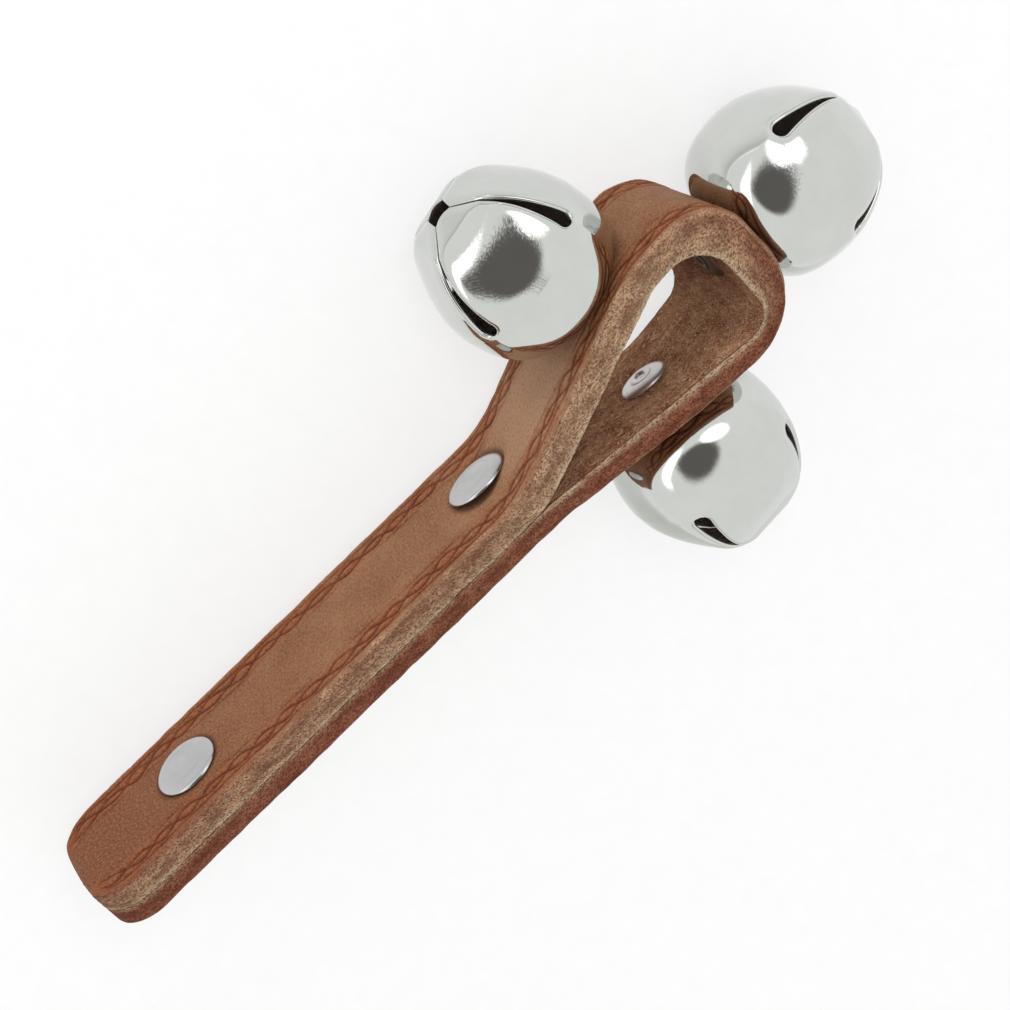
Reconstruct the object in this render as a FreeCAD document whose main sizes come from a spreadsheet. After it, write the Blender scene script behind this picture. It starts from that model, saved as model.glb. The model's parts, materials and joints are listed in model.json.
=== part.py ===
import FreeCAD, Part
import math
import os

import Sketcher

# Hand-held sleigh bells: a leather strap folded into a handle and a teardrop loop, with three jingle
# bells riveted to the loop.
#
# Frame, in millimetres: the origin is the middle of the handle's butt end. +X runs along the handle
# to the tip of the loop, +Y is the front face's outward normal and +Z runs across the strap's width,
# so the strap's cut edges face up and down and the object lies on the sides of its bells.

DIMENSIONS = {
    # leather strap
    "strap_width": 28.4,
    "layer_thickness": 4.55,
    "layer_gap": 0.16,          # between the two layers of the handle
    "butt_corner_radius": 6.0,
    # cap rivets of the handle
    "lower_rivet_x": 26.0,
    "upper_rivet_x": 96.0,
    "cap_radius": 6.25,
    "cap_height": 1.3,
    "post_radius": 1.5,
    "post_length": 8.4,
    "socket_radius": 2.1,
    "socket_bore_radius": 1.55,
    "socket_length": 8.0,
    "rivet_hole_radius": 2.2,
    # bell shells
    "bell_radius": 17.0,
    "bell_base_height": 14.2,   # from the leather to the widest place
    "bell_crown_height": 17.2,  # from the widest place to the mouth
    "bell_wall": 0.8,
    "mouth_side": 5.4,
    "slot_width": 3.1,
    "slot_neck_width": 0.5,
    "slot_end_height": 16.7,    # centre of the slot's round end, above the leather
    "slot_neck_height": 29.0,   # where the slot opens out from its narrow neck
    # bell rivets and their washers
    "bell_rivet_head_radius": 4.0,
    "bell_rivet_head_height": 1.2,
    "bell_rivet_head_lift": 1.25,  # from the leather to the head's underside, inside the bell
    "bell_rivet_shank_radius": 1.6,
    "bell_rivet_hollow_radius": 1.0,
    "bell_rivet_hollow_depth": 2.2,
    "bell_rivet_roll_radius": 2.3,
    "bell_rivet_roll_height": 0.5,
    "shank_clearance": 0.1,
    "flange_clearance": 0.05,   # round a cap or washer where it is pressed into the leather
    "washer_radius": 4.6,
    "washer_height": 1.3,
    # pellets
    "pellet_radius": 4.5,
    "pellet_clearance": 0.3,
}

# Each bell's seat is the point of the leather under the middle of its base. The axis points out of
# the leather: its azimuth is measured from +X towards +Y and its rise from the XY plane towards +Z.
# The turn places the slots about the axis, and the grip is the leather's thickness under the base.
BELLS = {
    "front_bell": {"seat_x": 131.7, "seat_y": 17.7, "seat_z": 0.2,
                   "azimuth": 102.8, "rise": -2.9, "turn": 46.5, "grip": 4.8},
    "tip_bell": {"seat_x": 158.2, "seat_y": 6.3, "seat_z": 0.9,
                 "azimuth": -4.6, "rise": -8.6, "turn": 35.0, "grip": 6.1},
    "back_bell": {"seat_x": 129.9, "seat_y": -9.4, "seat_z": 0.0,
                  "azimuth": -94.0, "rise": 4.0, "turn": 32.0, "grip": 5.1},
}

# The strap's outline is a closed polygon with rounded corners. The fold isn't quite square, so the
# upper cut edge (near) and the lower one (far) differ a little. The ends of the handle are added
# from the layer's thickness, and each row is: place, near x, near y, far x, far y, corner radius.
OUTER_LOOP = (
    ("front_bend", 99.0, 4.55, 103.0, 4.55, 26.0),
    ("shoulder", 140.5, 22.4, 140.0, 20.9, 28.0),
    ("tip_front", 161.7, 23.6, 158.6, 23.4, 10.0),
    ("tip_back", 161.7, -10.0, 153.0, -9.0, 15.5),
    ("belly", 131.0, -8.1, 130.0, -12.1, 45.0),
    ("back_bend", 104.0, -4.55, 106.0, -4.55, 40.0),
)
INNER_LOOP = (
    ("front_bend", 101.0, 0.08, 105.5, 0.08, 18.0),
    ("shoulder", 141.5, 16.6, 138.6, 13.4, 12.0),
    ("tip_front", 154.2, 18.2, 151.6, 15.5, 7.5),
    ("tip_back", 154.2, -4.8, 146.8, -3.4, 5.0),
    ("belly", 131.0, -2.6, 129.5, -6.7, 45.0),
    ("back_bend", 101.0, -0.08, 105.5, -0.08, 30.0),
)

doc = FreeCAD.newDocument("sleigh_bells")


# ---------------------------------------------------------------- spreadsheet

def loop_cells(side, rows):
    """Names and values of one loop outline's cells."""
    cells = {}
    for place, near_x, near_y, far_x, far_y, radius in rows:
        stem = f"{side}_{place}"
        cells[f"{stem}_near_x"] = near_x
        cells[f"{stem}_near_y"] = near_y
        cells[f"{stem}_far_x"] = far_x
        cells[f"{stem}_far_y"] = far_y
        cells[f"{stem}_radius"] = radius
    return cells


def fill_sheet():
    cells = dict(DIMENSIONS)
    for bell, places in BELLS.items():
        for name, value in places.items():
            cells[f"{bell}_{name}"] = value
    cells.update(loop_cells("outer", OUTER_LOOP))
    cells.update(loop_cells("inner", INNER_LOOP))
    new_sheet = doc.addObject("Spreadsheet::Sheet", "dims")
    for row, (alias, value) in enumerate(cells.items(), start=1):
        new_sheet.set(f"A{row}", alias)
        new_sheet.set(f"B{row}", str(value))
        new_sheet.setAlias(f"B{row}", alias)
    doc.recompute()
    return new_sheet


sheet = fill_sheet()


def size(alias):
    return float(sheet.get(alias))


def on_sheet(text):
    """An expression with every word looked up in the sheet."""
    return " ".join(f"dims.{word}" if word[0].isalpha() else word for word in text.split())


def bind(target, **expressions):
    """Bind properties to expressions in which each word is a cell of the sheet."""
    for prop, expression in expressions.items():
        target.setExpression(prop, on_sheet(expression))


# ---------------------------------------------------------------- PartDesign helpers

def new_body(label):
    body = doc.addObject("PartDesign::Body", label)
    body.Label = label
    return body


def origin_feature(body, role):
    for feature in body.Origin.OriginFeatures:
        if feature.Role == role:
            return feature
    raise ValueError(f"{body.Label} has no {role}")


def solid_feature(body, kind, name, base=None, **expressions):
    """Add a PartDesign primitive whose sizes are bound, standing base above the XY plane."""
    feature = body.newObject(f"PartDesign::{kind}", name)
    feature.AttachmentSupport = [(origin_feature(body, "XY_Plane"), "")]
    feature.MapMode = "FlatFace"
    bind(feature, **expressions)
    if base:
        feature.setExpression(".AttachmentOffset.Base.z", on_sheet(base))
    return feature


def new_sketch(body, name, plane):
    sketch = body.newObject("Sketcher::SketchObject", name)
    sketch.AttachmentSupport = [(origin_feature(body, plane), "")]
    sketch.MapMode = "FlatFace"
    return sketch


def check_cut(feature, before):
    """A pocket that points away from the solid cuts nothing and shows no error."""
    doc.recompute()
    if feature.Shape.Volume >= before - 1e-6:
        raise RuntimeError(f"{feature.Label} removes no material")


# ---------------------------------------------------------------- leather strap

def rounded_wire(corners, z):
    """A closed wire of lines and tangent arcs through corners given as (x, y, radius)."""
    count = len(corners)
    starts = []
    arcs = []
    ends = []
    for index, (x, y, radius) in enumerate(corners):
        corner = FreeCAD.Vector(x, y, z)
        back = FreeCAD.Vector(*corners[index - 1][:2], z) - corner
        ahead = FreeCAD.Vector(*corners[(index + 1) % count][:2], z) - corner
        back.normalize()
        ahead.normalize()
        if radius == 0:
            starts.append(corner)
            ends.append(corner)
            arcs.append(None)
            continue
        half_angle = back.getAngle(ahead) / 2
        bisector = (back + ahead).normalize()
        tangent = radius / math.tan(half_angle)
        middle = corner + bisector * (radius / math.sin(half_angle) - radius)
        starts.append(corner + back * tangent)
        ends.append(corner + ahead * tangent)
        arcs.append(Part.Arc(starts[-1], middle, ends[-1]))
    edges = []
    for index in range(count):
        after = (index + 1) % count
        side = FreeCAD.Vector(*corners[after][:2], z) - FreeCAD.Vector(*corners[index][:2], z)
        if side.dot(starts[after] - ends[index]) <= 0:
            raise ValueError(f"the arcs at corners {index} and {after} leave no straight between them")
        if arcs[index]:
            edges.append(arcs[index].toShape())
        edges.append(Part.LineSegment(ends[index], starts[after]).toShape())
    return Part.Wire(edges)


def loop_corners(side, rows, edge):
    return [(size(f"{side}_{row[0]}_{edge}_x"),
             size(f"{side}_{row[0]}_{edge}_y"),
             size(f"{side}_{row[0]}_radius")) for row in rows]


def strap_corners(edge):
    """The strap's outline at one cut edge, round the outside and back round the inside."""
    outside = size("layer_thickness")
    slit = size("layer_gap") / 2
    front_end = [(0, slit, 0), (0, outside, 0)]
    back_end = [(0, -outside, 0), (0, -slit, 0)]
    inner = list(reversed(loop_corners("inner", INNER_LOOP, edge)))
    return front_end + loop_corners("outer", OUTER_LOOP, edge) + back_end + inner


def butt_corner_edges(solid):
    """The upright edges at the four plan corners of the butt end."""
    half_width = size("strap_width") / 2
    edges = []
    for edge in solid.Edges:
        box = edge.BoundBox
        at_butt = box.XMax < 1e-6
        along_y = box.YLength > 1 and box.ZLength < 1e-6
        if at_butt and along_y and abs(abs(box.ZMax) - half_width) < 1e-6:
            edges.append(edge)
    return edges


def bell_axis(bell):
    azimuth = math.radians(size(f"{bell}_azimuth"))
    rise = math.radians(size(f"{bell}_rise"))
    flat = math.cos(rise)
    return FreeCAD.Vector(flat * math.cos(azimuth), flat * math.sin(azimuth), math.sin(rise))


def bell_placement(bell):
    """The bell's own Z is its axis, and its own X is turned from the direction nearest to +Z."""
    axis = bell_axis(bell)
    up = FreeCAD.Vector(0, 0, 1)
    level = (up - axis * up.dot(axis)).normalize()
    turn = FreeCAD.Rotation(axis, size(f"{bell}_turn"))
    across = turn.multVec(level)
    rotation = FreeCAD.Rotation(across, axis.cross(across), axis, "ZXY")
    seat = FreeCAD.Vector(size(f"{bell}_seat_x"), size(f"{bell}_seat_y"), size(f"{bell}_seat_z"))
    return FreeCAD.Placement(seat, rotation)


def handle_rivet_cuts(x):
    """The hole of one handle rivet, and the round seats that its two flanges press into the leather."""
    face = size("layer_thickness")
    seat_radius = size("cap_radius") + size("flange_clearance")
    seat_height = 2 * size("cap_height")
    outwards = FreeCAD.Vector(0, 1, 0)
    hole = Part.makeCylinder(size("rivet_hole_radius"), 4 * face,
                             FreeCAD.Vector(x, -2 * face, 0), outwards)
    cuts = [hole]
    for side in (1, -1):
        cuts.append(Part.makeCylinder(seat_radius, seat_height,
                                      FreeCAD.Vector(x, side * face, 0), outwards * side))
    return cuts


def bell_cuts(bell):
    """The hole of one bell's rivet, the hollow its base presses into the leather and the washer's seat."""
    grip = size(f"{bell}_grip")
    bore = size("bell_rivet_shank_radius") + size("shank_clearance")
    base_curve = size("bell_radius") ** 2 / size("bell_base_height")
    seat_radius = size("washer_radius") + size("flange_clearance")
    seat_height = 2 * size("washer_height")
    cuts = [
        Part.makeCylinder(bore, 3 * grip, FreeCAD.Vector(0, 0, -2 * grip)),
        Part.makeSphere(base_curve, FreeCAD.Vector(0, 0, base_curve)),
        Part.makeCylinder(seat_radius, seat_height, FreeCAD.Vector(0, 0, -grip - seat_height)),
    ]
    for cut in cuts:
        cut.Placement = bell_placement(bell).multiply(cut.Placement)
    return cuts


def make_strap():
    half_width = size("strap_width") / 2
    near = rounded_wire(strap_corners("near"), half_width)
    far = rounded_wire(strap_corners("far"), -half_width)
    folded = Part.makeLoft([far, near], True, True)
    folded = folded.makeFillet(size("butt_corner_radius"), butt_corner_edges(folded))
    cuts = handle_rivet_cuts(size("lower_rivet_x")) + handle_rivet_cuts(size("upper_rivet_x"))
    for bell in BELLS:
        cuts += bell_cuts(bell)
    strap = doc.addObject("Part::Feature", "leather_strap")
    strap.Label = "leather_strap"
    strap.Shape = folded.cut(cuts)
    strap.Placement = FreeCAD.Placement()
    return strap


# ---------------------------------------------------------------- handle rivets

def make_rivet_cap(label, x_cell):
    """The rivet half with the solid post. It lies on the handle's front face."""
    body = new_body(label)
    solid_feature(body, "AdditiveEllipsoid", f"{label}_dome",
                  Radius1="cap_height", Radius2="cap_radius", Radius3="cap_radius")
    body.Tip.Angle1 = 0
    body.Tip.Angle2 = 90
    solid_feature(body, "AdditiveCylinder", f"{label}_post", base="-1 * post_length",
                  Radius="post_radius", Height="post_length")
    lie_on_handle(body, x_cell, front=True)
    return body


def make_rivet_socket(label, x_cell):
    """The rivet half with the tube that grips the post. It lies on the handle's back face."""
    body = new_body(label)
    solid_feature(body, "AdditiveEllipsoid", f"{label}_dome",
                  Radius1="cap_height", Radius2="cap_radius", Radius3="cap_radius")
    body.Tip.Angle1 = 0
    body.Tip.Angle2 = 90
    solid_feature(body, "AdditiveCylinder", f"{label}_tube", base="-1 * socket_length",
                  Radius="socket_radius", Height="socket_length")
    solid_feature(body, "SubtractiveCylinder", f"{label}_bore", base="-1 * socket_length",
                  Radius="socket_bore_radius", Height="socket_length")
    lie_on_handle(body, x_cell, front=False)
    return body


def lie_on_handle(body, x_cell, front):
    """Put a rivet half's flange on a face of the handle, with its dome outwards."""
    side = 1 if front else -1
    body.Placement.Rotation = FreeCAD.Rotation(FreeCAD.Vector(1, 0, 0), -90 * side)
    body.setExpression(".Placement.Base.x", on_sheet(x_cell))
    body.setExpression(".Placement.Base.y", on_sheet(f"{side} * layer_thickness"))


# ---------------------------------------------------------------- bells

def half_ellipsoid(body, kind, name, upper, inset):
    """One half of a bell's outer or inner form, as a PartDesign primitive on the widest plane."""
    height = "bell_crown_height" if upper else "bell_base_height"
    less = " - bell_wall" if inset else ""
    feature = solid_feature(body, kind, name, base="bell_base_height",
                            Radius1=height + less,
                            Radius2="bell_radius" + less,
                            Radius3="bell_radius" + less)
    feature.Angle1 = 0 if upper else -90
    feature.Angle2 = 90 if upper else 0
    return feature


def constrain_point(sketch, geometry, point, x_expression, y_expression):
    """Tie one point of a sketch to the origin by two bound distances."""
    for kind, expression in (("DistanceX", x_expression), ("DistanceY", y_expression)):
        value = sketch.evalExpression(expression)
        number = sketch.addConstraint(Sketcher.Constraint(kind, -1, 1, geometry, point, float(value)))
        sketch.setExpression(f"Constraints[{number}]", expression)


def polygon_sketch(body, name, plane, points):
    """A closed polygon whose corners are given as pairs of bound expressions."""
    sketch = new_sketch(body, name, plane)
    pairs = [(on_sheet(x), on_sheet(y)) for x, y in points]
    corners = [FreeCAD.Vector(float(sketch.evalExpression(x)), float(sketch.evalExpression(y)), 0)
               for x, y in pairs]
    count = len(corners)
    for index in range(count):
        sketch.addGeometry(Part.LineSegment(corners[index], corners[(index + 1) % count]), False)
    for index in range(count):
        after = (index + 1) % count
        sketch.addConstraint(Sketcher.Constraint("Coincident", index, 2, after, 1))
    for index, (x, y) in enumerate(pairs):
        constrain_point(sketch, index, 1, x, y)
    return sketch


def cut_slots(body, label):
    """Four slots: a narrow neck from the mouth that opens out to a wide round end."""
    top = "( bell_base_height + bell_crown_height + 1 )"
    outline = polygon_sketch(body, f"{label}_slot_outline", "YZ_Plane", (
        ("slot_neck_width / -2", top),
        ("slot_neck_width / -2", "slot_neck_height"),
        ("slot_width / -2", "slot_end_height"),
        ("slot_width / 2", "slot_end_height"),
        ("slot_neck_width / 2", "slot_neck_height"),
        ("slot_neck_width / 2", top),
    ))
    round_end = new_sketch(body, f"{label}_slot_end", "YZ_Plane")
    centre = FreeCAD.Vector(0, size("slot_end_height"), 0)
    circle = Part.Circle(centre, FreeCAD.Vector(0, 0, 1), size("slot_width") / 2)
    round_end.addGeometry(circle, False)
    round_end.addConstraint(Sketcher.Constraint("PointOnObject", 0, 3, -2))
    height = round_end.addConstraint(
        Sketcher.Constraint("DistanceY", -1, 1, 0, 3, size("slot_end_height")))
    round_end.setExpression(f"Constraints[{height}]", on_sheet("slot_end_height"))
    width = round_end.addConstraint(Sketcher.Constraint("Radius", 0, size("slot_width") / 2))
    round_end.setExpression(f"Constraints[{width}]", on_sheet("slot_width / 2"))
    pockets = []
    for name, profile in (("slot_cut", outline), ("slot_end_cut", round_end)):
        before = body.Shape.Volume
        pocket = body.newObject("PartDesign::Pocket", f"{label}_{name}")
        pocket.Profile = profile
        pocket.Reversed = True
        bind(pocket, Length="bell_radius + 1")
        check_cut(pocket, before)
        pockets.append(pocket)
    pattern = body.newObject("PartDesign::PolarPattern", f"{label}_slots")
    pattern.Originals = pockets
    pattern.Axis = (origin_feature(body, "Z_Axis"), [""])
    pattern.Angle = 360
    pattern.Occurrences = 4
    body.Tip = pattern
    doc.recompute()


def cut_mouth(body, label):
    """The square mouth, whose corners point along the slots."""
    half_diagonal = "( mouth_side / 1.41421356 )"
    square = polygon_sketch(body, f"{label}_mouth_outline", "XY_Plane", (
        (half_diagonal, "0"),
        ("0", half_diagonal),
        (f"-1 * {half_diagonal}", "0"),
        ("0", f"-1 * {half_diagonal}"),
    ))
    square.setExpression(".AttachmentOffset.Base.z", on_sheet("bell_base_height"))
    before = body.Shape.Volume
    pocket = body.newObject("PartDesign::Pocket", f"{label}_mouth")
    pocket.Profile = square
    pocket.Reversed = True
    bind(pocket, Length="bell_crown_height + 1")
    check_cut(pocket, before)


def make_bell_shell(bell):
    label = f"{bell}_shell"
    body = new_body(label)
    half_ellipsoid(body, "AdditiveEllipsoid", f"{label}_base", upper=False, inset=False)
    half_ellipsoid(body, "AdditiveEllipsoid", f"{label}_crown", upper=True, inset=False)
    half_ellipsoid(body, "SubtractiveEllipsoid", f"{label}_base_hollow", upper=False, inset=True)
    half_ellipsoid(body, "SubtractiveEllipsoid", f"{label}_crown_hollow", upper=True, inset=True)
    solid_feature(body, "SubtractiveCylinder", f"{label}_rivet_hole",
                  Radius="bell_rivet_shank_radius + shank_clearance",
                  Height="2 * bell_wall")
    doc.recompute()
    cut_mouth(body, label)
    cut_slots(body, label)
    body.Placement = bell_placement(bell)
    return body


def make_bell_rivet(bell):
    """A tubular rivet: domed head inside the bell, shank through the leather, end rolled over."""
    label = f"{bell}_rivet"
    body = new_body(label)
    head = solid_feature(body, "AdditiveEllipsoid", f"{label}_head", base="bell_rivet_head_lift",
                         Radius1="bell_rivet_head_height",
                         Radius2="bell_rivet_head_radius",
                         Radius3="bell_rivet_head_radius")
    head.Angle1 = 0
    head.Angle2 = 90
    end = f"( {bell}_grip + washer_height )"
    solid_feature(body, "AdditiveCylinder", f"{label}_shank", base=f"-1 * {end}",
                  Radius="bell_rivet_shank_radius", Height=f"{end} + bell_rivet_head_lift")
    solid_feature(body, "AdditiveCylinder", f"{label}_roll",
                  base=f"-1 * {end} - bell_rivet_roll_height",
                  Radius="bell_rivet_roll_radius", Height="bell_rivet_roll_height")
    solid_feature(body, "SubtractiveCylinder", f"{label}_hollow",
                  base=f"-1 * {end} - bell_rivet_roll_height",
                  Radius="bell_rivet_hollow_radius", Height="bell_rivet_hollow_depth")
    body.Placement = bell_placement(bell)
    return body


def make_washer(bell):
    """The domed washer on the flesh side, under the rivet's rolled end."""
    label = f"{bell}_washer"
    body = new_body(label)
    dome = solid_feature(body, "AdditiveEllipsoid", f"{label}_dome", base=f"-1 * {bell}_grip",
                         Radius1="washer_height", Radius2="washer_radius", Radius3="washer_radius")
    dome.Angle1 = -90
    dome.Angle2 = 0
    solid_feature(body, "SubtractiveCylinder", f"{label}_hole",
                  base=f"-1 * {bell}_grip - washer_height",
                  Radius="bell_rivet_shank_radius + shank_clearance", Height="washer_height")
    body.Placement = bell_placement(bell)
    return body


def make_pellet(bell):
    """The loose steel ball, lying at the lowest place of the bell's hollow."""
    label = f"{bell}_pellet"
    ball = doc.addObject("Part::Sphere", label)
    ball.Label = label
    bind(ball, Radius="pellet_radius")
    axis = bell_axis(bell)
    down = FreeCAD.Vector(0, 0, -1)
    fall = (down - axis * down.dot(axis)).normalize()
    path_radius = (size("bell_radius") - size("bell_wall")
                   - size("pellet_clearance") - size("pellet_radius"))
    centre = bell_placement(bell).Base + axis * size("bell_base_height")
    ball.Placement = FreeCAD.Placement(centre + fall * path_radius, FreeCAD.Rotation())
    return ball


# ---------------------------------------------------------------- build, check and write

def check_document():
    for item in doc.Objects:
        if "Invalid" in item.State or "Error" in item.State:
            raise RuntimeError(f"{item.Label} failed: {item.State}")


def write_parts(parts):
    os.makedirs("parts", exist_ok=True)
    for part in parts:
        shape = part.Shape
        if shape.isNull() or not shape.isValid() or len(shape.Solids) != 1:
            raise RuntimeError(f"{part.Label} isn't one valid solid")
        shape.exportStep(os.path.join("parts", f"{part.Label}.step"))
        print(f"{part.Label}: {shape.Volume / 1000:.3f} cm3")


parts = [
    make_strap(),
    make_rivet_cap("lower_rivet_cap", "lower_rivet_x"),
    make_rivet_socket("lower_rivet_socket", "lower_rivet_x"),
    make_rivet_cap("upper_rivet_cap", "upper_rivet_x"),
    make_rivet_socket("upper_rivet_socket", "upper_rivet_x"),
]
for bell_name in BELLS:
    parts.append(make_bell_shell(bell_name))
    parts.append(make_bell_rivet(bell_name))
    parts.append(make_washer(bell_name))
    parts.append(make_pellet(bell_name))

doc.recompute()
check_document()
write_parts(parts)
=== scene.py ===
import json
import math

import bmesh
import bpy
import numpy as np
from mathutils import Matrix, Vector, noise


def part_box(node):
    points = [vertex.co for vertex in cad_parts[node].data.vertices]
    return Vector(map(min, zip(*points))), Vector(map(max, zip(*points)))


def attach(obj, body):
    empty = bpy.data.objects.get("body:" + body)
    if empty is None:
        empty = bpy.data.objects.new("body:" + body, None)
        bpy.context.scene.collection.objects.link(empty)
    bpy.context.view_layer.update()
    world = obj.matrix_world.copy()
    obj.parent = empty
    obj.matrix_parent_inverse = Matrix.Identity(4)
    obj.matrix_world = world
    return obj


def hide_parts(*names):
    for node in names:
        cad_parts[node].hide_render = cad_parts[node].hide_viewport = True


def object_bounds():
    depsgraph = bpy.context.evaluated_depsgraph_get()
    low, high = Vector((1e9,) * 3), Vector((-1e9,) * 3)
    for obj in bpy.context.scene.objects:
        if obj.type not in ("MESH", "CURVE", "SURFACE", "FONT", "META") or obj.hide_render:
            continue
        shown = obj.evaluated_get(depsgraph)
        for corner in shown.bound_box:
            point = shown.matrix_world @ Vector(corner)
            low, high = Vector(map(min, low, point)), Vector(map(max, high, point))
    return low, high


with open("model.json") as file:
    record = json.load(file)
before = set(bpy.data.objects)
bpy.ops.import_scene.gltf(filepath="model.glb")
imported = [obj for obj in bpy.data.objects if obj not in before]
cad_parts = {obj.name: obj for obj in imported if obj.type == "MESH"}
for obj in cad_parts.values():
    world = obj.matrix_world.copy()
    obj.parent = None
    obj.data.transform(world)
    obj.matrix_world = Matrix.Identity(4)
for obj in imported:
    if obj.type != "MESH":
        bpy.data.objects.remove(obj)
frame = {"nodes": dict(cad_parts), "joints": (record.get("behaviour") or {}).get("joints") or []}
cad_low, cad_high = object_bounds()

MM = 0.001
BELLS = ("front_bell", "tip_bell", "back_bell")

# Sizes below are in millimetres.
HALF_WIDTH = 14.2           # of the strap
LAYER = 4.55                # thickness of one layer of the handle
SLIT = 0.03                 # half the gap between the two layers
BUTT_RADIUS = 7.5           # corners of the butt end, seen from the front
BUTT_BULGE = 1.3            # how far the middle of the butt end stands out
GRAIN_CORNER = 1.5          # rounding of the cut edges on the smooth side
FLESH_CORNER = 0.2          # and on the rough side
CAP_RADIUS = 6.25           # of the handle's rivets
CAP_SPOTS = ((26.0, 0.0), (97.2, -1.0))     # their places along and across the strap

# The strap's outlines at its near (upper) and far (lower) cut edge are straight runs with rounded
# corners, the same as the CAD strap's. Each row is near x, near y, far x, far y, corner radius.
OUTER_CORNERS = (
    (99.0, LAYER, 103.0, LAYER, 26.0),
    (140.5, 22.4, 140.0, 20.9, 28.0),
    (161.7, 23.6, 158.6, 23.4, 10.0),
    (161.7, -10.0, 153.0, -9.0, 15.5),
    (131.0, -8.1, 130.0, -12.1, 45.0),
    (104.0, -LAYER, 106.0, -LAYER, 40.0),
)
INNER_CORNERS = (
    (103.2, SLIT, 106.5, SLIT, 18.0),
    (141.5, 16.6, 138.6, 13.4, 12.0),
    (154.2, 18.2, 151.6, 15.5, 7.5),
    (154.2, -4.8, 146.8, -3.4, 5.0),
    (131.0, -2.6, 129.5, -6.7, 45.0),
    (103.2, -SLIT, 106.5, -SLIT, 30.0),
)


# ---------------------------------------------------------------- meshes

def new_object(name, mesh):
    piece = bpy.data.objects.new(name, mesh)
    bpy.context.scene.collection.objects.link(piece)
    return piece


def smooth(mesh):
    mesh.polygons.foreach_set("use_smooth", [True] * len(mesh.polygons))
    mesh.update()


def spline_through(points, count):
    """A smooth curve through the points, each given as a tuple, with so many steps between two."""
    points = [np.array(point, float) for point in points]
    padded = [2 * points[0] - points[1]] + points + [2 * points[-1] - points[-2]]
    curve = []
    for index in range(len(points) - 1):
        before, start, end, after = padded[index:index + 4]
        for step in range(count):
            t = step / count
            curve.append(0.5 * (2 * start + (end - before) * t
                                + (2 * before - 5 * start + 4 * end - after) * t ** 2
                                + (3 * start - before - 3 * end + after) * t ** 3))
    curve.append(points[-1])
    return curve


def lathe(name, profile, place, segments=72):
    """A closed solid of revolution. The profile runs from the axis back to the axis."""
    mesh = bpy.data.meshes.new(name)
    shape = bmesh.new()
    rings = []
    for radius, height in profile:
        if radius < 1e-6:
            rings.append([shape.verts.new((0, 0, height * MM))])
            continue
        ring = []
        for step in range(segments):
            angle = 2 * math.pi * step / segments
            ring.append(shape.verts.new((radius * MM * math.cos(angle),
                                         radius * MM * math.sin(angle), height * MM)))
        rings.append(ring)
    for lower, upper in zip(rings, rings[1:]):
        for step in range(segments):
            after = (step + 1) % segments
            if len(lower) == 1:
                shape.faces.new((lower[0], upper[step], upper[after]))
            elif len(upper) == 1:
                shape.faces.new((lower[step], upper[0], lower[after]))
            else:
                shape.faces.new((lower[step], upper[step], upper[after], lower[after]))
    bmesh.ops.recalc_face_normals(shape, faces=shape.faces)
    shape.transform(place)
    shape.to_mesh(mesh)
    shape.free()
    smooth(mesh)
    return new_object(name, mesh)


# ---------------------------------------------------------------- material helpers

def new_material(name):
    material = bpy.data.materials.new(name)
    material.use_nodes = True
    material.node_tree.nodes.clear()
    return material, material.node_tree


def add(tree, kind, settings=None, **inputs):
    """A shader node. An input is a number, a colour or the socket that feeds it."""
    made = tree.nodes.new("ShaderNode" + kind)
    for name, value in (settings or {}).items():
        setattr(made, name, value)
    for name, value in inputs.items():
        plug(tree, made.inputs[name.replace("_", " ")], value)
    return made


def plug(tree, socket, value):
    if isinstance(value, bpy.types.NodeSocket):
        tree.links.new(value, socket)
    else:
        socket.default_value = value


def mix(tree, factor, first, second, blend_type="MIX"):
    """The colour between two, each given as (red, green, blue) or as a socket."""
    made = tree.nodes.new("ShaderNodeMix")
    made.data_type = "RGBA"
    made.blend_type = blend_type
    plug(tree, made.inputs[0], factor)
    for socket, value in ((made.inputs[6], first), (made.inputs[7], second)):
        plug(tree, socket, value if isinstance(value, bpy.types.NodeSocket) else (*value, 1.0))
    return made.outputs[2]


def calculate(tree, operation, first, second=0.0):
    made = tree.nodes.new("ShaderNodeMath")
    made.operation = operation
    plug(tree, made.inputs[0], first)
    plug(tree, made.inputs[1], second)
    return made.outputs[0]


def steps(tree, factor, *stops):
    """A value turned into 0..1 by a ramp whose stops are (position, brightness)."""
    ramp = tree.nodes.new("ShaderNodeValToRGB")
    tree.links.new(factor, ramp.inputs[0])
    elements = ramp.color_ramp.elements
    while len(elements) < len(stops):
        elements.new(0.5)
    for element, (position, brightness) in zip(elements, stops):
        element.position = position
        element.color = (brightness, brightness, brightness, 1.0)
    return ramp.outputs[0]


def coordinates(tree, scale):
    """Places on the strap: along it, across it and into it, each multiplied by its scale."""
    place = add(tree, "Attribute", {"attribute_name": "strap_place"})
    mapping = add(tree, "Mapping", Vector=place.outputs["Vector"], Scale=scale)
    return mapping.outputs[0]


def own_coordinates(tree, scale=(1, 1, 1)):
    place = add(tree, "TexCoord")
    mapping = add(tree, "Mapping", Vector=place.outputs["Object"], Scale=scale)
    return mapping.outputs[0]


def finish_material(tree, **inputs):
    shader = add(tree, "BsdfPrincipled", **inputs)
    add(tree, "OutputMaterial", Surface=shader.outputs[0])


# ---------------------------------------------------------------- leather materials

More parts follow.
